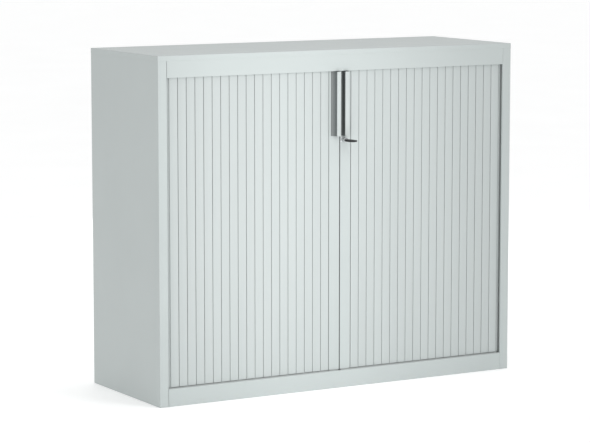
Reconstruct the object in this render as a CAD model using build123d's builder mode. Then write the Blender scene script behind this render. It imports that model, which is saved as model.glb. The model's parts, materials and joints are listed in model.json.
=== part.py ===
from build123d import *
import os
from math import atan2, cos, degrees, pi, radians, sin, sqrt

os.makedirs("parts", exist_ok=True)

# Side-opening tambour cupboard. Millimetres; origin at the middle of the floor
# under the carcass, +Z up, the doors face -Y, +X is the right-hand door.

# Carcass
width = 1200.0
depth = 430.0
height = 1000.0
sheet = 1.0  # thickness of the folded steel
bend = 0.8  # bend radius at the middle of the sheet
cap_rim = 15.0  # height of the lid's rim
cap_lip = 13.0  # width of the lip turned in under the rim
stile_width = 28.0
stile_lip = 6.8  # depth of the stile's return
rear_flange = 20.0
top_flange = 25.0
fascia_height = 48.0
plinth_height = 51.0
joint = 0.6  # gap between a stile and the fascia or plinth
front = -depth / 2
half = width / 2
cap_base = height - cap_rim
inner_x = half - sheet  # inner face of a side panel
front_bay = front + 7.0  # front of the base tray and of the tracks
rear_bay = depth / 2 - 2 * sheet  # rear of the base tray

rivet_x = half - 12.0
rivet_levels = (120.0, 492.0, 864.0)
rivet_radius = 1.6
lock_sides = 20  # small turned parts are polygons
head_sides = 12
shank_sides = 8

# Levels
tray_top = 40.0
track_height = 13.0
bay_floor = tray_top + track_height
ceiling = 955.0  # underside of the inner top
curtain_low = 54.6
curtain_high = 940.0

# Curtain and its tracks
slat_pitch = 27.58
slat_depth = 8.0
slat_count = 21
curtain_y = front + 12.0  # middle of the curtain's thickness
corner_radius = 30.0
run_x = half - 8.0  # middle of the track beside the side panel
track_width = 10.0
groove_width = 6.4
track_floor = 2.0
track_start = 4.0
track_end_x = 400.0
glide_length = 8.0
glide_width = 5.2
glide_gap = 0.2  # under the glides and the shoes

# Leading profiles, handles and lock
seam = 1.5  # half the gap between the closed doors
profile_outer = 37.5
profile_box = 33.5
profile_depth = 12.0
profile_wall = 1.6
profile_front = curtain_y - slat_depth / 2
profile_back = profile_front + profile_depth
finger_gap = 15.0
fin_width = 12.8
fin_front = profile_front - 19.6
handle_low = 747.5
handle_length = 188.0  # ends just under the fascia
foot_radius = 10.2
screw_x = (finger_gap + fin_width) / 2
screw_bite = 10.0  # depth of a screw in the fin
screw_radius = 2.0
screw_hole = 2.2
screw_levels = (handle_low + 30.0, handle_low + handle_length - 30.0)
lock_x = 10.0
lock_z = 735.5
barrel_radius = 7.0
barrel_front = front - 12.0
body_radius = 6.7
plug_radius = 5.0
plug_clearance = 0.1
keyway_width = 7.4
keyway_height = 2.3
key_depth = 24.0
cam_thickness = 2.0
cam_front = profile_back + 4.5
jaw_radius = 22.0
jaw_half = 4.2
stud_radius = 3.0
door_travel = 520.0

# Inner fittings
inner_wall = 580.0  # outer face of an inner side
inner_front = 183.0
upright_width = 28.0
floor_x = 582.0
floor_y = 186.0
shelf_x = 577.0
shelf_front = -172.0
shelf_back = 181.0
shelf_fold = 24.0
shelf_levels = {"lower": 352.0, "upper": 652.0}
slot_pitch = 50.0
slot_first = 199.0
slot_count = 13
slot_width = 12.6
slot_height = 2.6
slot_drop = 3.0  # from a shelf's top down to the middle of the slots that carry it
clip_width = 12.0
slot_rows = (-130.0, 130.0)


def save(part, name):
    """Labels a finished piece and writes its STEP file."""
    part.label = name
    export_step(part, f"parts/{name}.step")


def twin(part):
    """The left-hand piece that mirrors a right-hand one."""
    with BuildPart() as mirrored:
        mirror(part, about=Plane.YZ)
    return mirrored.part


def folded(points, radius=bend):
    """Section of a folded sheet along the middle of its thickness, one radius or one a bend."""
    with BuildSketch() as section:
        with BuildLine():
            if radius:
                FilletPolyline(*points, radius=radius)
            else:
                Polyline(*points)
        trace(line_width=sheet)
    return section.sketch


def block(low, high, mode=Mode.ADD):
    """A rectangular extrusion between two corners, added to the part in hand."""
    with BuildSketch(Plane.XY.offset(low[2])) as outline:
        with Locations(((low[0] + high[0]) / 2, (low[1] + high[1]) / 2)):
            Rectangle(high[0] - low[0], high[1] - low[1])
    extrude(outline.sketch, amount=high[2] - low[2], mode=mode)


# ---------------------------------------------------------------- carcass

# Side panel: skin, front stile with its return, rear flange, top flange.
half_sheet = sheet / 2
with BuildPart() as side_panel:
    with BuildSketch(Plane.XY):
        add(
            folded(
                [
                    (half - stile_width + half_sheet, front + stile_lip),
                    (half - stile_width + half_sheet, front + half_sheet),
                    (half - half_sheet, front + half_sheet),
                    (half - half_sheet, -front - half_sheet),
                    (half - rear_flange, -front - half_sheet),
                ]
            )
        )
    extrude(amount=cap_base)
    block(
        (half - top_flange, front + stile_lip, cap_base - sheet),
        (inner_x, rear_bay, cap_base),
    )
    with BuildSketch(Plane.XZ.offset(front)):
        with Locations(*[(rivet_x, z) for z in rivet_levels]):
            RegularPolygon(rivet_radius, shank_sides)
    extrude(amount=sheet, mode=Mode.SUBTRACT)
save(side_panel.part, "side_panel_right")
save(twin(side_panel.part), "side_panel_left")

# Lid: a shallow pan with a lip turned in all round.
with BuildPart() as top_cap:
    with BuildSketch(Plane.XY.offset(cap_base)):
        Rectangle(width, depth)
    extrude(amount=cap_rim)
    fillet(top_cap.edges().group_by(Axis.Z)[-1], bend + half_sheet)
    fillet(top_cap.edges().group_by(Axis.Z)[0], 0.3)
    with BuildSketch(Plane.XY.offset(cap_base + sheet)):
        Rectangle(width - 2 * sheet, depth - 2 * sheet)
    extrude(amount=cap_rim - 2 * sheet, mode=Mode.SUBTRACT)
    with BuildSketch(Plane.XY.offset(cap_base)):
        Rectangle(width - 2 * cap_lip, depth - 2 * cap_lip)
    extrude(amount=sheet, mode=Mode.SUBTRACT)
save(top_cap.part, "top_cap")

# Fascia and plinth: folded channels between the stiles.
channel_length = width - 2 * stile_width - 2 * joint
fascia_low = cap_base - fascia_height
with BuildPart() as top_fascia:
    with BuildSketch(Plane.YZ.offset(-channel_length / 2)):
        add(
            folded(
                [
                    (front_bay - half_sheet, cap_base - 25),
                    (front_bay - half_sheet, cap_base - half_sheet),
                    (front + half_sheet, cap_base - half_sheet),
                    (front + half_sheet, fascia_low + half_sheet),
                    (front + 6.2, fascia_low + half_sheet),
                ],
                (0, 0, bend),
            )
        )
    extrude(amount=channel_length)
save(top_fascia.part, "top_fascia")

with BuildPart() as plinth_rail:
    with BuildSketch(Plane.YZ.offset(-channel_length / 2)):
        add(
            folded(
                [
                    (front_bay - half_sheet, 6),
                    (front_bay - half_sheet, plinth_height - half_sheet),
                    (front + half_sheet, plinth_height - half_sheet),
                    (front + half_sheet, half_sheet),
                    (front_bay - 1.5, half_sheet),
                ],
                (0, bend, 0),
            )
        )
    extrude(amount=channel_length)
save(plinth_rail.part, "plinth_rail")

# Base tray: carries the bottom tracks and stands on a flange turned in all round.
base_flange = 15.0
with BuildPart() as base_panel:
    block((-inner_x, front_bay, 0), (inner_x, rear_bay, tray_top))
    block(
        (-inner_x + sheet, front_bay + sheet, sheet),
        (inner_x - sheet, rear_bay - sheet, tray_top - sheet),
        Mode.SUBTRACT,
    )
    block(
        (-inner_x + base_flange, front_bay + base_flange, 0),
        (inner_x - base_flange, rear_bay - base_flange, sheet),
        Mode.SUBTRACT,
    )
save(base_panel.part, "base_panel")

# Storage floor: an inverted pan inside the ring of the tracks.
with BuildPart() as floor_panel:
    block((-floor_x, -floor_y, tray_top), (floor_x, floor_y, bay_floor))
    block(
        (-floor_x + sheet, -floor_y + sheet, tray_top),
        (floor_x - sheet, floor_y - sheet, bay_floor - sheet),
        Mode.SUBTRACT,
    )
save(floor_panel.part, "floor_panel")

# Inner top: a pan with its edges turned up, which carries the top tracks.
with BuildPart() as inner_top:
    block((-inner_x, front_bay, ceiling), (inner_x, rear_bay, cap_base - sheet))
    block(
        (-inner_x + sheet, front_bay + sheet, ceiling + sheet),
        (inner_x - sheet, rear_bay - sheet, cap_base - sheet),
        Mode.SUBTRACT,
    )
save(inner_top.part, "inner_top")

# Back panel, behind the base tray and in front of the side panels' rear flanges.
back_x = inner_x - 1.0  # clear of the bends
field_x = half - 40.0
field_low = 40.0
field_high = cap_base - 40.0
field_depth = 3.5  # the field is pressed in, to stiffen the panel
with BuildPart() as back_panel:
    block((-back_x, rear_bay, sheet), (back_x, rear_bay + sheet, cap_base))
    back_plane = Plane.XZ.offset(-rear_bay - sheet)
    pressings = ((sheet, field_depth + sheet, Mode.ADD), (0, field_depth, Mode.SUBTRACT))
    for spread, deep, mode in pressings:
        with BuildSketch(back_plane):
            with Locations((0, (field_low + field_high) / 2)):
                Rectangle(2 * (field_x + spread), field_high - field_low + 2 * spread)
        extrude(amount=deep, taper=45, mode=mode)
    with BuildSketch(Plane.XZ.offset(-rear_bay)):
        for x in (-rivet_x, rivet_x):
            with Locations(*[(x, z) for z in rivet_levels]):
                RegularPolygon(rivet_radius, shank_sides)
    extrude(amount=-sheet, mode=Mode.SUBTRACT)
save(back_panel.part, "back_panel")

# ---------------------------------------------------------------- inner fittings

# Inner side: a slotted upright face at the front and a turned rear edge.
with BuildPart() as inner_side:
    with BuildSketch(Plane.XY.offset(bay_floor)):
        add(
            folded(
                [
                    (inner_wall - upright_width, -inner_front + half_sheet),
                    (inner_wall - half_sheet, -inner_front + half_sheet),
                    (inner_wall - half_sheet, inner_front - half_sheet),
                    (inner_wall - 15, inner_front - half_sheet),
                ],
                radius=0,
            )
        )
    extrude(amount=ceiling - bay_floor)
    with BuildSketch(Plane.YZ.offset(inner_wall - 2 * sheet)):
        for y in slot_rows:
            with Locations(*[(y, slot_first + slot_pitch * i) for i in range(slot_count)]):
                Rectangle(slot_width, slot_height)
    extrude(amount=3 * sheet, mode=Mode.SUBTRACT)
save(inner_side.part, "inner_side_right")
save(twin(inner_side.part), "inner_side_left")

# Inner back: closes the bay in front of the curtains' rear run.
with BuildPart() as inner_back:
    block(
        (-inner_wall + sheet, inner_front, bay_floor),
        (inner_wall - sheet, inner_front + sheet, ceiling),
    )
save(inner_back.part, "inner_back")

# Shelves: pans with a deep fold at the front and back and a short one at each end.
end_fold = 12.0
for name, top in shelf_levels.items():
    low = top - shelf_fold + half_sheet
    with BuildPart() as shelf:
        with BuildSketch(Plane.YZ.offset(-shelf_x)):
            add(
                folded(
                    [
                        (shelf_front + 9, low),
                        (shelf_front + half_sheet, low),
                        (shelf_front + half_sheet, top - half_sheet),
                        (shelf_back - half_sheet, top - half_sheet),
                        (shelf_back - half_sheet, low),
                        (shelf_back - 9, low),
                    ],
                    radius=0,
                )
            )
        extrude(amount=2 * shelf_x)
        for x in (-shelf_x, shelf_x - sheet):
            block((x, shelf_front, top - end_fold), (x + sheet, shelf_back, top - half_sheet))
    save(shelf.part, f"shelf_{name}")

    # Shelf clips: a ledge under the shelf's end and a hook through a slot.
    ledge = top - end_fold - half_sheet
    hook = top - slot_drop - (slot_height - sheet) / 2
    clip_near = inner_wall - sheet - half_sheet
    clip_far = inner_wall + half_sheet
    with BuildPart() as clips:
        for y in slot_rows:
            with BuildSketch(Plane.XZ.offset(-y - clip_width / 2)):
                with BuildLine():
                    Polyline(
                        (inner_wall - 14, ledge),
                        (clip_near, ledge),
                        (clip_near, hook),
                        (clip_far, hook),
                        (clip_far, hook - 5),
                    )
                trace(line_width=sheet)
            extrude(amount=clip_width)
        mirror(about=Plane.YZ)
    save(clips.part, f"shelf_clips_{name}")

# Rubber buffers on the uprights, which stop a leading profile at the end of its way.
buffer_x = profile_box + door_travel + 0.8
with BuildPart() as door_buffers:
    for level in (200.0, 800.0):
        with BuildSketch(Plane.XY.offset(level)):
            with BuildLine():
                low_y = profile_front + slat_depth + 1.5
                Polyline(
                    (buffer_x, -inner_front),
                    (buffer_x, low_y),
                    (buffer_x + 5, low_y),
                    (buffer_x + 12, -inner_front),
                    close=True,
                )
            make_face()
        extrude(amount=25)
    mirror(about=Plane.YZ)
save(door_buffers.part, "door_buffers")

# ---------------------------------------------------------------- tracks


def track_path():
    """Middle line of the right-hand curtain's way: front, corner, side, corner, back."""
    FilletPolyline(
        (track_start, curtain_y),
        (run_x, curtain_y),
        (run_x, -curtain_y),
        (track_end_x, -curtain_y),
        radius=corner_radius,
    )


def track(base, groove_base):
    """A moulded track: the band along the path less its groove, open up or down."""
    with BuildPart() as rail:
        with BuildSketch(Plane.XY.offset(base)):
            with BuildLine():
                track_path()
            trace(line_width=track_width)
        extrude(amount=track_height)
        with BuildSketch(Plane.XY.offset(groove_base)):
            with BuildLine():
                track_path()
            trace(line_width=groove_width)
        extrude(amount=track_height - track_floor, mode=Mode.SUBTRACT)
    return rail.part


bottom_track = track(tray_top, tray_top + track_floor)
save(bottom_track, "bottom_track_right")
save(twin(bottom_track), "bottom_track_left")
top_track = track(ceiling - track_height, ceiling - track_height)
save(top_track, "top_track_right")
save(twin(top_track), "top_track_left")

# Stops between the two tracks, which meet the leading shoes of closed doors.
with BuildPart() as centre_stops:
    for level in (tray_top, ceiling - track_height + track_floor):
        block(
            (-track_start, curtain_y - track_width / 2, level),
            (track_start, curtain_y + track_width / 2, level + track_height - track_floor),
        )
save(centre_stops.part, "centre_stops")

# ---------------------------------------------------------------- curtains

straight = run_x - corner_radius - profile_outer  # from the leading profile to the corner
quarter = corner_radius * pi / 2


def path_point(s):
    """Point and heading in degrees at distance s past the leading profile."""
    centre_x = run_x - corner_radius
    centre_y = curtain_y + corner_radius
    if s <= straight:
        return profile_outer + s, curtain_y, 0.0
    if s <= straight + quarter:
        turn = (s - straight) / corner_radius
        x = centre_x + corner_radius * sin(turn)
        y = centre_y - corner_radius * cos(turn)
        return x, y, degrees(turn)
    return run_x, centre_y + s - straight - quarter, 90.0


def hinge_distances():
    """Path distance of each hinge line: rigid slats step along the path by chords."""
    distances = [0.0]
    for _ in range(slat_count):
        x, y, _heading = path_point(distances[-1])
        low, high = distances[-1], distances[-1] + 2 * slat_pitch
        while high - low > 1e-6:
            middle = (low + high) / 2
            u, v, _heading = path_point(middle)
            if sqrt((u - x) ** 2 + (v - y) ** 2) < slat_pitch:
                low = middle
            else:
                high = middle
        distances.append(low)
    return distances


hinges = [path_point(s) for s in hinge_distances()]
slat_places = [
    Location((x, y, curtain_low), (0, 0, degrees(atan2(v - y, u - x))))
    for (x, y, _a), (u, v, _b) in zip(hinges, hinges[1:])
]

# One slat: a flat front wall, a hollow rib behind it, a bead on the far edge and a
# socket on the near edge that grips the bead of the slat before. The socket is open
# towards the rear, so a pair folds one way only, round the corner of the track.
skin = 1.6
rib_near = 5.5
rib_far = 22.0
rib_wall = 1.2
bead_radius = 1.3
bead_sides = 6
socket_inner = 1.55
socket_outer = 2.4
socket_web = 1.2
mouth_reach = 3.0  # cuts the socket's mouth, from 106 to 202 degrees
neck = 0.45
edge_gap = 0.8
edge_chamfer = 0.5
face = -slat_depth / 2
with BuildPart() as slat:
    with BuildSketch(Plane.XY):
        with Locations((slat_pitch / 2, face + skin / 2)):
            Rectangle(slat_pitch - 2 * edge_gap, skin)
        with Locations(((rib_near + rib_far) / 2, (face + skin - face) / 2)):
            Rectangle(rib_far - rib_near, slat_depth - skin)
        with Locations(((rib_far + slat_pitch) / 2, 0)):
            Rectangle(slat_pitch - rib_far, 2 * neck)
        with Locations((slat_pitch, 0)):
            RegularPolygon(bead_radius, bead_sides)
        with Locations((rib_near / 2, 0)):
            Rectangle(rib_near, socket_web)
        RegularPolygon(socket_outer, bead_sides)
        RegularPolygon(socket_inner, bead_sides, mode=Mode.SUBTRACT)
        with BuildLine():
            Polyline(
                (0, 0),
                (mouth_reach * cos(radians(106)), mouth_reach * sin(radians(106))),
                (-mouth_reach, mouth_reach),
                (mouth_reach * cos(radians(202)), mouth_reach * sin(radians(202))),
                close=True,
            )
        make_face(mode=Mode.SUBTRACT)
        with Locations(((rib_near + rib_far) / 2, (skin - rib_wall) / 2)):
            Rectangle(
                rib_far - rib_near - 2 * rib_wall,
                slat_depth - skin - rib_wall,
                mode=Mode.SUBTRACT,
            )
    extrude(amount=curtain_high - curtain_low)

with BuildPart() as slats:
    with Locations(*slat_places):
        add(slat.part)
save(slats.part, "right_slats")
save(twin(slats.part), "left_slats")

# Glides: a block on every second hinge line, at the head and the foot of the curtain.
glide_places = [Location((x, y, 0), (0, 0, heading)) for x, y, heading in hinges[1::2]]
foot_low = tray_top + track_floor + glide_gap
head_high = ceiling - track_floor - 2.0
with BuildPart() as glides:
    for low, high in ((foot_low, curtain_low), (curtain_high, head_high)):
        with BuildSketch(Plane.XY.offset(low)):
            with Locations(*glide_places):
                Rectangle(glide_length, glide_width)
        extrude(amount=high - low)
save(glides.part, "right_slat_glides")
save(twin(glides.part), "left_slat_glides")

# ---------------------------------------------------------------- leading profiles

profile_length = curtain_high - curtain_low
with BuildPart() as leading_profile:
    with BuildSketch(Plane.XY.offset(curtain_low)):
        with BuildLine():
            Polyline(
                (seam, profile_back),
                (seam, profile_front + edge_chamfer),
                (seam + edge_chamfer, profile_front),
                (profile_outer - edge_gap - edge_chamfer, profile_front),
                (profile_outer - edge_gap, profile_front + edge_chamfer),
                (profile_outer - edge_gap, profile_front + skin),
                (profile_box, profile_front + skin),
                (profile_box, profile_back),
                close=True,
            )
        make_face()
        with Locations(((profile_box + profile_outer) / 2, curtain_y)):
            Rectangle(profile_outer - profile_box, 2 * neck)
        with Locations((profile_outer, curtain_y)):
            RegularPolygon(bead_radius, bead_sides)
        with Locations(((seam + profile_box) / 2, (profile_front + profile_back) / 2)):
            Rectangle(
                profile_box - seam - 2 * profile_wall,
                profile_depth - 2 * profile_wall,
                mode=Mode.SUBTRACT,
            )
    extrude(amount=profile_length)
    with BuildSketch(Plane.XZ.offset(-profile_back)):
        with Locations(*[(screw_x, z) for z in screw_levels]):
            RegularPolygon(screw_hole, shank_sides)
    extrude(amount=profile_depth, mode=Mode.SUBTRACT)

with BuildPart() as right_profile:
    add(leading_profile.part)
    with BuildSketch(Plane.XZ.offset(-profile_back)):
        with Locations((lock_x, lock_z)):
            RegularPolygon(body_radius + 0.1, lock_sides)
    extrude(amount=profile_depth, mode=Mode.SUBTRACT)
save(right_profile.part, "right_leading_profile")

stud_x = lock_x - jaw_radius
with BuildPart() as left_profile:
    mirror(leading_profile.part, about=Plane.YZ)
    with BuildSketch(Plane.XZ.offset(-profile_back)):
        with Locations((stud_x, lock_z)):
            RegularPolygon(screw_hole, shank_sides)
    extrude(amount=profile_wall, mode=Mode.SUBTRACT)
save(left_profile.part, "left_leading_profile")

# Guide shoes: a plug in the end of the profile, a flange and a tongue in the groove.
plug_length = 15.0
tongue = (5.0, 31.0)
inside = profile_wall + 0.3


def shoe(flange_low, plug_low, tongue_low, tongue_high):
    """One shoe, from the levels of its flange, plug and tongue."""
    with BuildPart() as guide:
        block(
            (seam, profile_front, flange_low),
            (profile_box, profile_back, flange_low + 1.0),
        )
        block(
            (seam + inside, profile_front + inside, plug_low),
            (profile_box - inside, profile_back - inside, plug_low + plug_length),
        )
        block(
            (tongue[0], curtain_y - glide_width / 2, tongue_low),
            (tongue[1], curtain_y + glide_width / 2, tongue_high),
        )
    return guide.part


top_shoe = shoe(curtain_high, curtain_high - plug_length, curtain_high, head_high)
save(top_shoe, "right_top_shoe")
save(twin(top_shoe), "left_top_shoe")
bottom_shoe = shoe(curtain_low - 1.0, curtain_low, foot_low, curtain_low)
save(bottom_shoe, "right_bottom_shoe")
save(twin(bottom_shoe), "left_bottom_shoe")

# Handle: a dark upright fin on a foot that sweeps out to the side away from the seam,
# with a light strip along its front that slides into a dovetail groove.
fin_near = finger_gap / 2
fin_far = fin_near + fin_width
fin_middle = (fin_near + fin_far) / 2
foot_thick = 0.9
inner_foot = 3.0
nose = 1.6
trim_back = fin_front + 1.9
dovetail_neck = 3.0
dovetail_foot = 4.4
dovetail_back = trim_back + 2.4
with BuildPart() as handle_trim:
    with BuildSketch(Plane.XY.offset(handle_low)):
        with BuildLine():
            RadiusArc((fin_near, fin_front + nose), (fin_near + nose, fin_front), -nose)
            Line((fin_near + nose, fin_front), (fin_far - nose, fin_front))
            RadiusArc((fin_far - nose, fin_front), (fin_far, fin_front + nose), -nose)
            Polyline(
                (fin_far, fin_front + nose),
                (fin_far, trim_back),
                (fin_middle + dovetail_neck / 2, trim_back),
                (fin_middle + dovetail_foot / 2, dovetail_back),
                (fin_middle - dovetail_foot / 2, dovetail_back),
                (fin_middle - dovetail_neck / 2, trim_back),
                (fin_near, trim_back),
                (fin_near, fin_front + nose),
            )
        make_face()
    extrude(amount=handle_length)
save(handle_trim.part, "right_handle_trim")
save(twin(handle_trim.part), "left_handle_trim")

with BuildPart() as handle:
    with BuildSketch(Plane.XY.offset(handle_low)):
        with BuildLine():
            seat = profile_front
            lip_y = seat - foot_thick
            Polyline(
                (fin_near - inner_foot, lip_y),
                (fin_near - inner_foot, seat),
                (fin_far + foot_radius, seat),
                (fin_far + foot_radius, lip_y),
            )
            RadiusArc(
                (fin_far + foot_radius, lip_y), (fin_far, lip_y - foot_radius), -foot_radius
            )
            Polyline(
                (fin_far, lip_y - foot_radius),
                (fin_far, trim_back),
                (fin_near, trim_back),
                (fin_near, lip_y - inner_foot),
            )
            RadiusArc(
                (fin_near, lip_y - inner_foot), (fin_near - inner_foot, lip_y), -inner_foot
            )
        make_face()
    extrude(amount=handle_length)
    add(handle_trim.part, mode=Mode.SUBTRACT)
    with BuildSketch(Plane.XZ.offset(-profile_front)):
        with Locations(*[(screw_x, z) for z in screw_levels]):
            RegularPolygon(screw_hole, shank_sides)
    extrude(amount=screw_bite + 2.0, mode=Mode.SUBTRACT)
save(handle.part, "right_handle")
save(twin(handle.part), "left_handle")

# Handle screws, driven through the profile from behind.
with BuildPart() as handle_screws:
    for level in screw_levels:
        with BuildSketch(Plane.XZ.offset(-profile_back - 2.4)):
            with Locations((screw_x, level)):
                RegularPolygon(4.0, head_sides)
        extrude(amount=2.4)
        with BuildSketch(Plane.XZ.offset(-profile_back)):
            with Locations((screw_x, level)):
                RegularPolygon(screw_radius, shank_sides)
        extrude(amount=profile_depth + screw_bite)
save(handle_screws.part, "right_handle_screws")
save(twin(handle_screws.part), "left_handle_screws")

# ---------------------------------------------------------------- lock and key

lock_plane = Plane(origin=(lock_x, 0, lock_z), x_dir=(1, 0, 0), z_dir=(0, -1, 0))


def disc(y_front, y_back, radius, mode=Mode.ADD, sides=lock_sides):
    """A round stretch on the lock's axis, as a polygon, added to the part in hand."""
    with BuildSketch(lock_plane.offset(-y_back)) as outline:
        RegularPolygon(radius, sides)
    extrude(outline.sketch, amount=y_back - y_front, mode=mode)


barrel_back = cam_front - 1.0
with BuildPart() as lock_barrel:
    disc(barrel_front, profile_front - 2, barrel_radius)
    chamfer(lock_barrel.edges().group_by(Axis.Y)[0], 0.7)
    disc(profile_front - 2, profile_front, barrel_radius + 1.2)
    disc(profile_front, barrel_back, body_radius)
    disc(barrel_front, barrel_back, plug_radius + plug_clearance, Mode.SUBTRACT)
save(lock_barrel.part, "lock_barrel")

with BuildPart() as lock_nut:
    with BuildSketch(lock_plane.offset(-profile_back - 2.5)):
        RegularPolygon(radius=8.2, side_count=6, major_radius=False, rotation=30)
        RegularPolygon(body_radius, lock_sides, mode=Mode.SUBTRACT)
    extrude(amount=2.5)
save(lock_nut.part, "lock_nut")

plug_front = barrel_front + 0.5
plug_shoulder = cam_front - 0.3
cam_back = cam_front + cam_thickness
square = 6.0
screw_depth = 7.0
with BuildPart() as lock_plug:
    disc(plug_front, plug_shoulder, plug_radius)
    with BuildSketch(lock_plane.offset(-cam_back)):
        Rectangle(square, square)
    extrude(amount=cam_back - plug_shoulder)
    with BuildSketch(lock_plane.offset(-plug_front - key_depth - 1)):
        Rectangle(keyway_width, keyway_height)
    extrude(amount=key_depth + 1, mode=Mode.SUBTRACT)
    disc(cam_back - screw_depth, cam_back, screw_hole, Mode.SUBTRACT, shank_sides)
save(lock_plug.part, "lock_plug")

# Cam: a hook whose jaw swings down over the stud on the other door.
cam_reach = jaw_radius + jaw_half + 4.0
trail = 28.0
lead = 12.0


def wedge(first, last, reach):
    """Corners of a wedge from the lock's axis; angles from +Z towards -X."""
    return [
        (0, 0),
        (-reach * sin(radians(first)), reach * cos(radians(first))),
        (-reach * sin(radians(last)), reach * cos(radians(last))),
    ]


with BuildPart() as lock_cam:
    with BuildSketch(lock_plane.offset(-cam_back)):
        Polygon(*wedge(-trail, lead, 2 * cam_reach), align=None)
        RegularPolygon(cam_reach, lock_sides, mode=Mode.INTERSECT)
        RegularPolygon(8.0, head_sides)
        Rectangle(square + 0.1, square + 0.1, mode=Mode.SUBTRACT)
    extrude(amount=cam_thickness)
    with BuildSketch(lock_plane.offset(-cam_back)):
        Polygon(*wedge(-lead, 3 * lead, 2 * cam_reach), align=None)
        RegularPolygon(jaw_radius + jaw_half, lock_sides, mode=Mode.INTERSECT)
        RegularPolygon(jaw_radius - jaw_half, lock_sides, mode=Mode.SUBTRACT)
    extrude(amount=cam_thickness, mode=Mode.SUBTRACT)
save(lock_cam.part, "lock_cam")

with BuildPart() as cam_screw:
    disc(cam_back, cam_back + 2.0, 4.5, sides=head_sides)
    disc(cam_back - screw_depth, cam_back, screw_radius, sides=shank_sides)
    with BuildSketch(lock_plane.offset(-cam_back - 2.0)):
        Rectangle(1.2, 7.0)
    extrude(amount=1.0, mode=Mode.SUBTRACT)
save(cam_screw.part, "cam_screw")

# Striker stud on the left-hand profile, waisted where the cam's jaw passes.
stud_plane = Plane(origin=(stud_x, 0, lock_z), x_dir=(1, 0, 0), z_dir=(0, -1, 0))
stud_steps = (
    (profile_back - profile_wall, profile_back, screw_radius),
    (profile_back, profile_back + 1.5, 4.5),
    (profile_back + 1.5, cam_back + 1.0, stud_radius),
    (cam_back + 1.0, cam_back + 2.5, 4.5),
)
with BuildPart() as striker_stud:
    for near, far, radius in stud_steps:
        with BuildSketch(stud_plane.offset(-far)):
            RegularPolygon(radius, head_sides)
        extrude(amount=far - near)
save(striker_stud.part, "striker_stud")

# Key: a flat steel blade, lying level, with a moulded bow.
bow_length = 34.0
bow_width = 28.0
bow_corner = 6.0
bow_thick = 6.0
bow_edge = 3.8  # the bow thins towards its sides
ring_slot = 4.5  # height of the slot for a key ring
bow_back = front - 20.0
blade_width = 7.0
blade_thick = 1.9
blade_back = plug_front + key_depth
tang = 12.0  # length of the blade inside the bow
with BuildPart() as key_blade:
    with BuildSketch(Plane.XY.offset(lock_z - blade_thick / 2)):
        with BuildLine():
            near = lock_x - blade_width / 2
            far = lock_x + blade_width / 2
            cuts = [blade_back - 3.0 - 3.6 * i for i in range(5)]
            bites = [1.6, 0.9, 2.1, 1.2, 1.8]
            Polyline(
                (near, bow_back - tang),
                (near, blade_back - 2.0),
                (lock_x - 1.0, blade_back),
                (far - 2.0, blade_back - 0.6),
                *[
                    point
                    for y, bite in zip(cuts, bites)
                    for point in ((far - 0.1, y + 1.4), (far - bite, y), (far - 0.1, y - 1.4))
                ],
                (far, bow_back - tang),
                close=True,
            )
        make_face()
    extrude(amount=blade_thick)
save(key_blade.part, "key_blade")

with BuildPart() as key_bow:
    with BuildSketch(Plane.XY.offset(lock_z - bow_thick / 2)):
        with Locations((lock_x, bow_back - bow_length / 2)):
            RectangleRounded(bow_width, bow_length, bow_corner)
        with Locations((lock_x, bow_back - 4)):
            Rectangle(13, 8)
        with Locations((lock_x, bow_back - bow_length + 7.5)):
            Rectangle(ring_slot, ring_slot, mode=Mode.SUBTRACT)
            with GridLocations(ring_slot, 0, 2, 1):
                RegularPolygon(ring_slot / 2, head_sides, mode=Mode.SUBTRACT)
    extrude(amount=bow_thick)
    with BuildSketch(lock_plane.offset(-bow_back)):
        with BuildLine():
            Polyline(
                (0, bow_thick / 2),
                (bow_width / 2, bow_edge / 2),
                (bow_width / 2, -bow_edge / 2),
                (0, -bow_thick / 2),
                (-bow_width / 2, -bow_edge / 2),
                (-bow_width / 2, bow_edge / 2),
                close=True,
            )
        make_face()
    extrude(amount=bow_length, mode=Mode.INTERSECT)
    add(key_blade.part, mode=Mode.SUBTRACT)
save(key_bow.part, "key_bow")

# ---------------------------------------------------------------- fasteners

# Blind rivets through the side panels' rear flanges and the back panel: a low head
# outside, and a shank that ends inside.
rivet_steps = (
    (rear_bay - 1.5, -front, rivet_radius),
    (-front, -front + 0.8, 3.2),
)
with BuildPart() as back_rivets:
    for near, far, radius in rivet_steps:
        with BuildSketch(Plane.XZ.offset(-far)):
            for x in (-rivet_x, rivet_x):
                with Locations(*[(x, z) for z in rivet_levels]):
                    RegularPolygon(radius, shank_sides)
        extrude(amount=far - near)
save(back_rivets.part, "back_rivets")
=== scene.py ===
import json
from math import atan2, cos, hypot, pi, radians, sin

import bmesh
import bpy
from mathutils import Matrix, Vector


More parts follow.
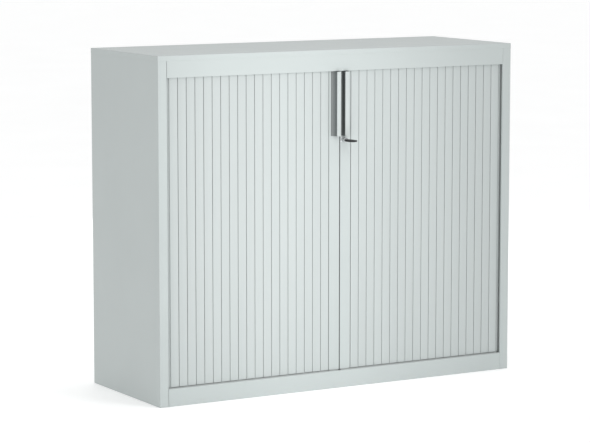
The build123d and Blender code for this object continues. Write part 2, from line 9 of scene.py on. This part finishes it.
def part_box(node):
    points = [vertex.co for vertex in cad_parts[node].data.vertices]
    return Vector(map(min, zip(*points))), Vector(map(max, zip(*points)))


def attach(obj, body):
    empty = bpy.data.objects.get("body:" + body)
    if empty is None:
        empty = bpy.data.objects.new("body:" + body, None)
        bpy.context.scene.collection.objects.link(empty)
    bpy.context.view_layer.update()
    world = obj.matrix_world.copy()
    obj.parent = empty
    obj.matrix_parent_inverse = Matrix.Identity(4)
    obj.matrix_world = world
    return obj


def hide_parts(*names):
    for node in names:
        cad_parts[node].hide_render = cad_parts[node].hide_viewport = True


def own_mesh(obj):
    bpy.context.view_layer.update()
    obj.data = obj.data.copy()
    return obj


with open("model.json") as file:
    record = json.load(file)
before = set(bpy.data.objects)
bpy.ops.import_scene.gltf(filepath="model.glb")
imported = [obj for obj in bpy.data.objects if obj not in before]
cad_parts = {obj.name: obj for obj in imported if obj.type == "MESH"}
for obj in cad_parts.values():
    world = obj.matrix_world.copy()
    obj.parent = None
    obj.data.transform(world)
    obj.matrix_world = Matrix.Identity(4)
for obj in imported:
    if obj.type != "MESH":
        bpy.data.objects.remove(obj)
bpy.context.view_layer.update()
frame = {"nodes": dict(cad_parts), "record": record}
nodes = frame["nodes"]
MM = 0.001


# ---------------------------------------------------------------- materials


class Nodes:
    """A material, with helpers that add and link its shader nodes."""

    def __init__(self, name):
        self.material = bpy.data.materials.new(name)
        self.material.use_nodes = True
        self.tree = self.material.node_tree
        self.shader = self.tree.nodes["Principled BSDF"]

    def add(self, kind, **inputs):
        """A node with values on its inputs. Underscores stand for spaces in their names."""
        node = self.tree.nodes.new(kind)
        for name, value in inputs.items():
            node.inputs[name.replace("_", " ")].default_value = value
        return node

    def link(self, source, target):
        self.tree.links.new(source, target)

    def vary(self, name, source):
        """Links one of the shader's sockets to a pattern."""
        self.link(source, self.shader.inputs[name])

    def constant(self, name, value):
        """Sets one of the shader's sockets to the same value all over."""
        self.shader.inputs[name].default_value = value

    def place(self, stretch=(1.0, 1.0, 1.0)):
        """Object coordinates in metres, stretched along the axes."""
        coordinates = self.add("ShaderNodeTexCoord")
        mapping = self.add("ShaderNodeMapping", Scale=stretch)
        self.link(coordinates.outputs["Object"], mapping.inputs["Vector"])
        return mapping.outputs["Vector"]

    def noise(self, place, scale, detail=2.0, roughness=0.5):
        """A noise pattern from 0 to 1, finer with a larger scale."""
        node = self.add("ShaderNodeTexNoise", Scale=scale, Detail=detail, Roughness=roughness)
        self.link(place, node.inputs["Vector"])
        return node.outputs["Fac"]

    def ramp(self, factor, low, high, start=0.3, stop=0.7):
        """A colour ramp between two colours."""
        node = self.add("ShaderNodeValToRGB")
        node.color_ramp.elements[0].position = start
        node.color_ramp.elements[0].color = (*low, 1.0)
        node.color_ramp.elements[1].position = stop
        node.color_ramp.elements[1].color = (*high, 1.0)
        self.link(factor, node.inputs["Fac"])
        return node.outputs["Color"]

    def span(self, factor, low, high):
        """A number that runs from low to high with the factor."""
        node = self.add("ShaderNodeMapRange")
        node.inputs["To Min"].default_value = low
        node.inputs["To Max"].default_value = high
        self.link(factor, node.inputs["Value"])
        return node.outputs["Result"]

    def bump(self, height, depth):
        """The normal of a relief with a depth in metres."""
        node = self.add("ShaderNodeBump", Strength=1.0, Distance=depth)
        self.link(height, node.inputs["Height"])
        return node.outputs["Normal"]

    def multiply(self, colour, other):
        """Two colours multiplied."""
        node = self.tree.nodes.new("ShaderNodeMix")
        node.data_type = "RGBA"
        node.blend_type = "MULTIPLY"
        node.inputs["Factor"].default_value = 1.0
        self.link(colour, node.inputs["A"])
        self.link(other, node.inputs["B"])
        return node.outputs["Result"]


def shaded(colour, factor):
    """A colour, darker by a factor."""
    return tuple(factor * part for part in colour)


def paint_crevice_shade(n, colour, reach, unshaded_from):
    """Paints shade into the colour in joints and hollows, from ambient occlusion, up to where
    the surface is open enough.
    """
    deepest_shade, bare = (0.20, 0.21, 0.21), (1.0, 1.0, 1.0)
    occlusion = n.add("ShaderNodeAmbientOcclusion", Distance=reach)
    occlusion.samples = 6
    shade = n.ramp(occlusion.outputs["AO"], deepest_shade, bare, start=0.05, stop=unshaded_from)
    return n.multiply(colour, shade)


def powder_coat(name, colour, roughness=0.42, orange_peel=0.00006, painted_shade=None):
    """Satin powder coat: fine orange peel, slow variation in tone and gloss."""
    n = Nodes(name)
    place = n.place()
    slow = n.noise(place, 3.5, detail=3.0)
    tone = n.ramp(slow, shaded(colour, 0.965), colour)
    # Painted shade in joints and hollows, from ambient occlusion, for the materials given it.
    if painted_shade:
        tone = paint_crevice_shade(n, tone, *painted_shade)
    n.vary("Base Color", tone)
    gloss = n.noise(place, 24.0, detail=4.0, roughness=0.6)
    n.vary("Roughness", n.span(gloss, roughness - 0.05, roughness + 0.06))
    n.constant("Specular Tint", (0.90, 1.0, 0.98, 1.0))
    fine = n.noise(place, 420.0, roughness=0.55)
    n.vary("Normal", n.bump(fine, orange_peel))
    return n.material


def moulded(
    name, colour, roughness=0.5, grain=900.0, depth=0.00004, stretch=(1.0, 1.0, 1.0), painted_shade=None
):
    """Moulded plastic: a fine spark-eroded grain, faint flow marks and painted shade in its
    joints.
    """
    n = Nodes(name)
    flow = n.noise(n.place(stretch), 9.0, detail=5.0, roughness=0.6)
    tone = n.ramp(flow, shaded(colour, 0.955), colour)
    # Painted shade in joints and hollows, from ambient occlusion, for the materials given it.
    if painted_shade:
        tone = paint_crevice_shade(n, tone, *painted_shade)
    n.vary("Base Color", tone)
    fine = n.noise(n.place(), grain, detail=3.0, roughness=0.6)
    n.vary("Roughness", n.span(fine, roughness - 0.07, roughness + 0.09))
    n.vary("Normal", n.bump(fine, depth))
    return n.material


def plated(name, colour, roughness, stretch, mottling=0.0):
    """Plated metal: brushing or turning marks along one axis, and clouds in its tone."""
    n = Nodes(name)
    cloud = n.noise(n.place(), 220.0)
    n.vary("Base Color", n.ramp(cloud, shaded(colour, 1 - mottling), colour))
    n.constant("Metallic", 1.0)
    marks = n.noise(n.place(stretch), 160.0, detail=5.0, roughness=0.65)
    n.vary("Roughness", n.span(marks, roughness - 0.08, roughness + 0.1))
    n.vary("Normal", n.bump(marks, 0.00002))
    return n.material


GREY = (0.480, 0.519, 0.515)
# Painted shade from ambient occlusion: short reach in the slat and door joints, long reach in
# the handles' hollows.
JOINT_SHADE = (0.006, 0.55)  # reach of the painted shade in metres, and how open the surface is where it stops
HOLLOW_SHADE = (0.020, 0.95)
materials = {
    "painted_sheet": powder_coat("powder_coat_grey", GREY),
    "painted_profile": powder_coat(
        "powder_coat_profile", GREY, roughness=0.45, orange_peel=0.00004, painted_shade=JOINT_SHADE
    ),
    "slat_plastic": moulded(
        "extruded_slat_plastic",
        GREY,
        roughness=0.48,
        grain=700.0,
        depth=0.00002,
        stretch=(1.0, 1.0, 0.06),
        painted_shade=JOINT_SHADE,
    ),
    "guide_plastic": moulded("guide_plastic_grey", (0.40, 0.42, 0.418), roughness=0.50),
    # The grips' dark colour is partly their own and partly painted shade on the fins' flanks;
    # the strips on their fronts take the cabinet's grey and stay light.
    "handle_plastic": moulded(
        "handle_plastic_dark",
        (0.165, 0.182, 0.182),
        roughness=0.42,
        grain=1100.0,
        painted_shade=HOLLOW_SHADE,
    ),
    "trim_plastic": moulded(
        "handle_strip_plastic", GREY, roughness=0.38, grain=1200.0, depth=0.00002
    ),
    "plated_zinc": plated(
        "satin_nickel", (0.68, 0.69, 0.70), roughness=0.26, stretch=(1.0, 12.0, 1.0)
    ),
    "plated_steel": plated(
        "zinc_plate", (0.56, 0.58, 0.60), roughness=0.36, stretch=(1.0, 1.0, 8.0), mottling=0.12
    ),
    "buffer_rubber": moulded(
        "buffer_rubber", (0.020, 0.020, 0.021), roughness=0.72, grain=500.0
    ),
    "bow_plastic": moulded(
        "key_bow_plastic", (0.010, 0.010, 0.011), roughness=0.62, grain=1300.0
    ),
}

# ---------------------------------------------------------------- CAD nodes

WELD_DISTANCE = 0.000001  # metres
BEVEL_ANGLE = 32.0  # degrees, edges that turn by more are softened
SHEET_EDGE = 0.25 * MM
LOCK_EDGE = 0.25 * MM
HANDLE_EDGE = 0.3 * MM
BLUNT_EDGE = 0.6 * MM


def dress(obj, slot_name):
    """Gives a piece the material of a slot."""
    obj.data.materials.clear()
    obj.data.materials.append(materials[slot_name])
    for polygon in obj.data.polygons:
        polygon.material_index = 0


def soften(obj, width, segments):
    """Breaks the hard edges of a CAD piece, without changing its mesh."""
    weld = obj.modifiers.new("weld", "WELD")
    weld.merge_threshold = WELD_DISTANCE
    bevel = obj.modifiers.new("bevel", "BEVEL")
    bevel.width = width
    bevel.segments = segments
    bevel.limit_method = "ANGLE"
    bevel.angle_limit = radians(BEVEL_ANGLE)
    bevel.harden_normals = False
    bevel.use_clamp_overlap = True
    for polygon in obj.data.polygons:
        polygon.use_smooth = True
    normals = obj.modifiers.new("normals", "WEIGHTED_NORMAL")
    normals.keep_sharp = False
    normals.weight = 80


slot_of = {row["node"]: row["material_slot"] for row in frame["record"]["subparts"]}
for name, obj in nodes.items():
    dress(obj, slot_of[name])

sheets = (
    "side_panel_left",
    "side_panel_right",
    "top_cap",
    "top_fascia",
    "plinth_rail",
    "base_panel",
    "floor_panel",
    "inner_top",
    "back_panel",
    "inner_side_left",
    "inner_side_right",
    "shelf_lower",
    "shelf_upper",
    "left_leading_profile",
    "right_leading_profile",
)
handles = ("left_handle", "right_handle", "left_handle_trim", "right_handle_trim")
blunt = ("key_bow", "door_buffers", "back_rivets")
lock = ("lock_barrel", "lock_plug", "lock_nut", "lock_cam", "cam_screw", "key_blade")
for names, width, segments in (
    (sheets, SHEET_EDGE, 2),
    (handles, HANDLE_EDGE, 3),
    (blunt, BLUNT_EDGE, 4),
    (lock, LOCK_EDGE, 3),
):
    for name in names:
        soften(nodes[name], width, segments)

# ---------------------------------------------------------------- mesh helpers

SHARP_ANGLE = 35.0  # degrees, edges that turn by more stay sharp
MERGE_DISTANCE = 1e-7  # metres


def arc(centre, radius, start, stop, steps):
    """Points of an arc, angles in degrees."""
    return [
        (
            centre[0] + radius * cos(radians(start + (stop - start) * i / steps)),
            centre[1] + radius * sin(radians(start + (stop - start) * i / steps)),
        )
        for i in range(steps + 1)
    ]


def prism(mesh, outline, low, high, place):
    """Adds an upright prism to a bmesh: outline in millimetres, low and high in metres."""
    rings = [
        [mesh.verts.new(place @ Vector((x * MM, y * MM, z))) for x, y in outline]
        for z in (low, high)
    ]
    count = len(outline)
    for i in range(count):
        j = (i + 1) % count
        mesh.faces.new((rings[0][i], rings[0][j], rings[1][j], rings[1][i]))
    mesh.faces.new(list(reversed(rings[0])))
    mesh.faces.new(rings[1])


def mirror(mesh):
    """Mirrors a bmesh to the left-hand side."""
    for vertex in mesh.verts:
        vertex.co.x = -vertex.co.x
    bmesh.ops.reverse_faces(mesh, faces=mesh.faces)


def finished(mesh, name, slot_name, body):
    """Turns a bmesh into a piece: outward normals, smooth with sharp edges, dressed, riding."""
    bmesh.ops.remove_doubles(mesh, verts=mesh.verts, dist=MERGE_DISTANCE)
    bmesh.ops.recalc_face_normals(mesh, faces=mesh.faces)
    for edge in mesh.edges:
        if len(edge.link_faces) == 2 and edge.calc_face_angle(0.0) > radians(SHARP_ANGLE):
            edge.smooth = False
    for face in mesh.faces:
        face.smooth = True
    data = bpy.data.meshes.new(name)
    mesh.to_mesh(data)
    mesh.free()
    obj = bpy.data.objects.new(name, data)
    bpy.context.collection.objects.link(obj)
    dress(obj, slot_name)
    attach(obj, body)
    return obj


# ---------------------------------------------------------------- curtains

# The slats repeat the CAD ones with rounded edges, and the first has no socket. Sizes
# are in millimetres and angles in degrees. The frame gives where the curtain starts,
# how high it is and where it turns the corner.
PITCH = 27.58  # from hinge to hinge
SLAT_COUNT = 21
SLAT_DEPTH = 8.0
SKIN = 1.6  # thickness of the front wall
EDGE_GAP = 0.8  # from a hinge to the front wall's edge
EDGE_ROUND = 0.5
RIB_NEAR, RIB_FAR = 5.5, 22.0  # the rib's sides, measured from the slat's first hinge
RIB_ROUND = 0.8
NECK, NECK_ANGLE = 0.45, 20  # half the neck's thickness, and where it meets the bead
BEAD = 1.3
SOCKET_INNER, SOCKET_OUTER = 1.5, 2.3
WEB, WEB_ANGLE = 0.6, 16  # half the web's thickness, and where it meets the socket
MOUTH_START, MOUTH_STOP = 106.0, 202.0  # the socket is open between these
TURN = 30.0  # radius of the corner
GLIDE_LENGTH, GLIDE_WIDTH, GLIDE_ROUND = 8.0, 5.2, 1.2
HINGE_TOLERANCE = 1e-6

slats_low, slats_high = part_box("right_slats")
glides_low, glides_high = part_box("right_slat_glides")
profile_low, profile_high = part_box("right_leading_profile")
curtain_start = profile_high.x / MM - BEAD
curtain_y = slats_low.y / MM + SLAT_DEPTH / 2
run_x = slats_high.x / MM - SLAT_DEPTH / 2
corner_start = run_x - TURN


def on_path(distance):
    """Point and turn of the curtain's path at a distance from its first hinge."""
    straight = corner_start - curtain_start
    quarter = TURN * pi / 2
    if distance <= straight:
        return curtain_start + distance, curtain_y, 0.0
    if distance <= straight + quarter:
        turn = (distance - straight) / TURN
        return corner_start + TURN * sin(turn), curtain_y + TURN * (1 - cos(turn)), turn
    return run_x, curtain_y + TURN + distance - straight - quarter, pi / 2


def hinge_lines():
    """Hinges stepped along the path by chords of one pitch."""
    lines = [on_path(0.0)]
    distance = 0.0
    for _ in range(SLAT_COUNT):
        low, high = distance, distance + 2 * PITCH
        while high - low > HINGE_TOLERANCE:
            middle = (low + high) / 2
            x, y, _turn = on_path(middle)
            if hypot(x - lines[-1][0], y - lines[-1][1]) < PITCH:
                low = middle
            else:
                high = middle
        distance = low
        lines.append(on_path(distance))
    return lines


def slat_outline(socket):
    """One slat's section: rounded front wall, rib, bead and, if it has one, open socket."""
    front, back = -SLAT_DEPTH / 2, SLAT_DEPTH / 2
    edge = PITCH - EDGE_GAP
    neck = 180 - NECK_ANGLE
    points = arc((EDGE_GAP + EDGE_ROUND, front + EDGE_ROUND), EDGE_ROUND, 180, 270, steps=4)
    points += arc((edge - EDGE_ROUND, front + EDGE_ROUND), EDGE_ROUND, 270, 360, steps=4)
    points += [(edge, front + SKIN), (RIB_FAR, front + SKIN), (RIB_FAR, -NECK)]
    points += arc((PITCH, 0), BEAD, -neck, neck, steps=14)
    points += [(RIB_FAR, NECK)]
    points += arc((RIB_FAR - RIB_ROUND, back - RIB_ROUND), RIB_ROUND, 0, 90, steps=3)
    points += arc((RIB_NEAR + RIB_ROUND, back - RIB_ROUND), RIB_ROUND, 90, 180, steps=3)
    if socket:
        points += [(RIB_NEAR, WEB)]
        points += arc((0, 0), SOCKET_OUTER, WEB_ANGLE, MOUTH_START, steps=7)
        points += arc((0, 0), SOCKET_INNER, MOUTH_START, MOUTH_STOP - 360, steps=16)
        points += arc((0, 0), SOCKET_OUTER, MOUTH_STOP - 360, -WEB_ANGLE, steps=9)
        points += [(RIB_NEAR, -WEB)]
    points += [(RIB_NEAR, front + SKIN), (EDGE_GAP, front + SKIN)]
    return points


def glide_outline():
    """A glide's section, a block with rounded corners."""
    in_x, in_y = GLIDE_LENGTH / 2 - GLIDE_ROUND, GLIDE_WIDTH / 2 - GLIDE_ROUND
    corners = ((1, 1, 0), (-1, 1, 90), (-1, -1, 180), (1, -1, 270))
    return [
        point
        for sx, sy, start in corners
        for point in arc((sx * in_x, sy * in_y), GLIDE_ROUND, start, start + 90, steps=4)
    ]


def at_hinge(x, y, turn):
    """The place of a hinge, turned about the upright axis by radians."""
    return Matrix.Translation((x * MM, y * MM, 0)) @ Matrix.Rotation(turn, 4, "Z")


def curtain(side, hinges, first, last, name):
    """The slats from first to last, and the glides on every second hinge between them."""
    mesh = bmesh.new()
    for index in range(first, last):
        x, y, _turn = hinges[index]
        next_x, next_y, _turn = hinges[index + 1]
        place = at_hinge(x, y, atan2(next_y - y, next_x - x))
        prism(mesh, slat_outline(index > 0), slats_low.z, slats_high.z, place)
    for index in range(first + 1, last + 1):
        if index % 2:
            place = at_hinge(*hinges[index])
            prism(mesh, glide_outline(), glides_low.z, slats_low.z, place)
            prism(mesh, glide_outline(), slats_high.z, glides_high.z, place)
    if side == "left":
        mirror(mesh)
    return finished(mesh, name, "slat_plastic", "carcass")


hinges = hinge_lines()
front_count = sum(1 for x, _y, _turn in hinges if x <= corner_start) - 1
for side, sign in (("left", -1), ("right", 1)):
    # The front run gets a mesh of its own.
    run = curtain(side, hinges, 0, front_count, f"{side}_curtain_front")
    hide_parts(f"{side}_slats", f"{side}_slat_glides")
    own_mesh(run)
    turn_piece = curtain(side, hinges, front_count, SLAT_COUNT, f"{side}_curtain_corner")
    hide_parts(f"{side}_slats", f"{side}_slat_glides")

# ---------------------------------------------------------------- camera

CAMERA_PLACE = (-3.8067, -6.4772, 1.4587)  # solved from the carcass's corners in the photo
CAMERA_HEADING = 30.238  # degrees from +Y towards +X
CAMERA_PITCH = 7.493  # degrees downwards
CAMERA_LENS, SENSOR_WIDTH = 153.665, 36.0  # millimetres
VIEW_END = 200.0

camera = bpy.data.objects.new("camera", bpy.data.cameras.new("camera"))
bpy.context.collection.objects.link(camera)
camera.location = CAMERA_PLACE
camera.rotation_euler = (radians(90 - CAMERA_PITCH), 0, radians(-CAMERA_HEADING))
camera.data.lens = CAMERA_LENS
camera.data.sensor_width = SENSOR_WIDTH
camera.data.sensor_fit = "HORIZONTAL"
camera.data.clip_end = VIEW_END
bpy.context.scene.camera = camera

# ---------------------------------------------------------------- lights

WORLD_STRENGTH = 0.80


def area_light(name, place, target, size, power, glossy=True):
    """A rectangular light aimed at a target, which the camera doesn't see."""
    data = bpy.data.lights.new(name, "AREA")
    data.shape = "RECTANGLE"
    data.size, data.size_y = size
    data.energy = power
    light = bpy.data.objects.new(name, data)
    light.location = place
    aim = Vector(target) - Vector(place)
    light.rotation_euler = aim.to_track_quat("-Z", "Y").to_euler()
    light.visible_camera = False
    light.visible_glossy = glossy
    bpy.context.collection.objects.link(light)


area_light(
    "front_strip",
    place=(-0.14, -0.90, 0.75),
    target=(-0.14, 0.0, 0.75),
    size=(0.35, 1.6),
    power=4.75,
)
area_light(
    "overhead",
    place=(0.2, -0.4, 4.2),
    target=(0.0, 0.0, 1.0),
    size=(3.0, 3.0),
    power=18.0,
)
area_light(
    "rear_fill",
    place=(1.2, 3.4, 1.2),
    target=(0.0, 0.0, 0.5),
    size=(1.6, 1.6),
    power=30.0,
    glossy=False,
)

world = bpy.data.worlds.new("studio")
world.use_nodes = True
backdrop = world.node_tree.nodes["Background"]
backdrop.inputs["Color"].default_value = (1.0, 1.0, 1.0, 1.0)
backdrop.inputs["Strength"].default_value = WORLD_STRENGTH
bpy.context.scene.world = world
bpy.context.scene.view_settings.view_transform = "Standard"

# ---------------------------------------------------------------- floor

FLOOR_REACH = 60.0
FLOOR_DROP = 0.5 * MM  # keeps the floor's face apart from the cabinet's underside
FLOOR_GLOW = 0.25

floor_mesh = bpy.data.meshes.new("floor")
floor_mesh.from_pydata(
    [(sx * FLOOR_REACH, sy * FLOOR_REACH, 0) for sx, sy in ((-1, -1), (1, -1), (1, 1), (-1, 1))],
    [],
    [(0, 1, 2, 3)],
)
floor = bpy.data.objects.new("floor", floor_mesh)
bpy.context.collection.objects.link(floor)
floor_look = Nodes("floor_paper")
paper = floor_look.noise(floor_look.place(), 2.0, detail=3.0)
floor_look.vary(
    "Base Color", floor_look.ramp(paper, (0.90, 0.905, 0.905), (0.93, 0.935, 0.935))
)
floor_look.constant("Roughness", 0.9)
floor_look.constant("Emission Color", (1.0, 1.0, 1.0, 1.0))
floor_look.constant("Emission Strength", FLOOR_GLOW)
floor_mesh.materials.append(floor_look.material)
floor.location.z = -FLOOR_DROP
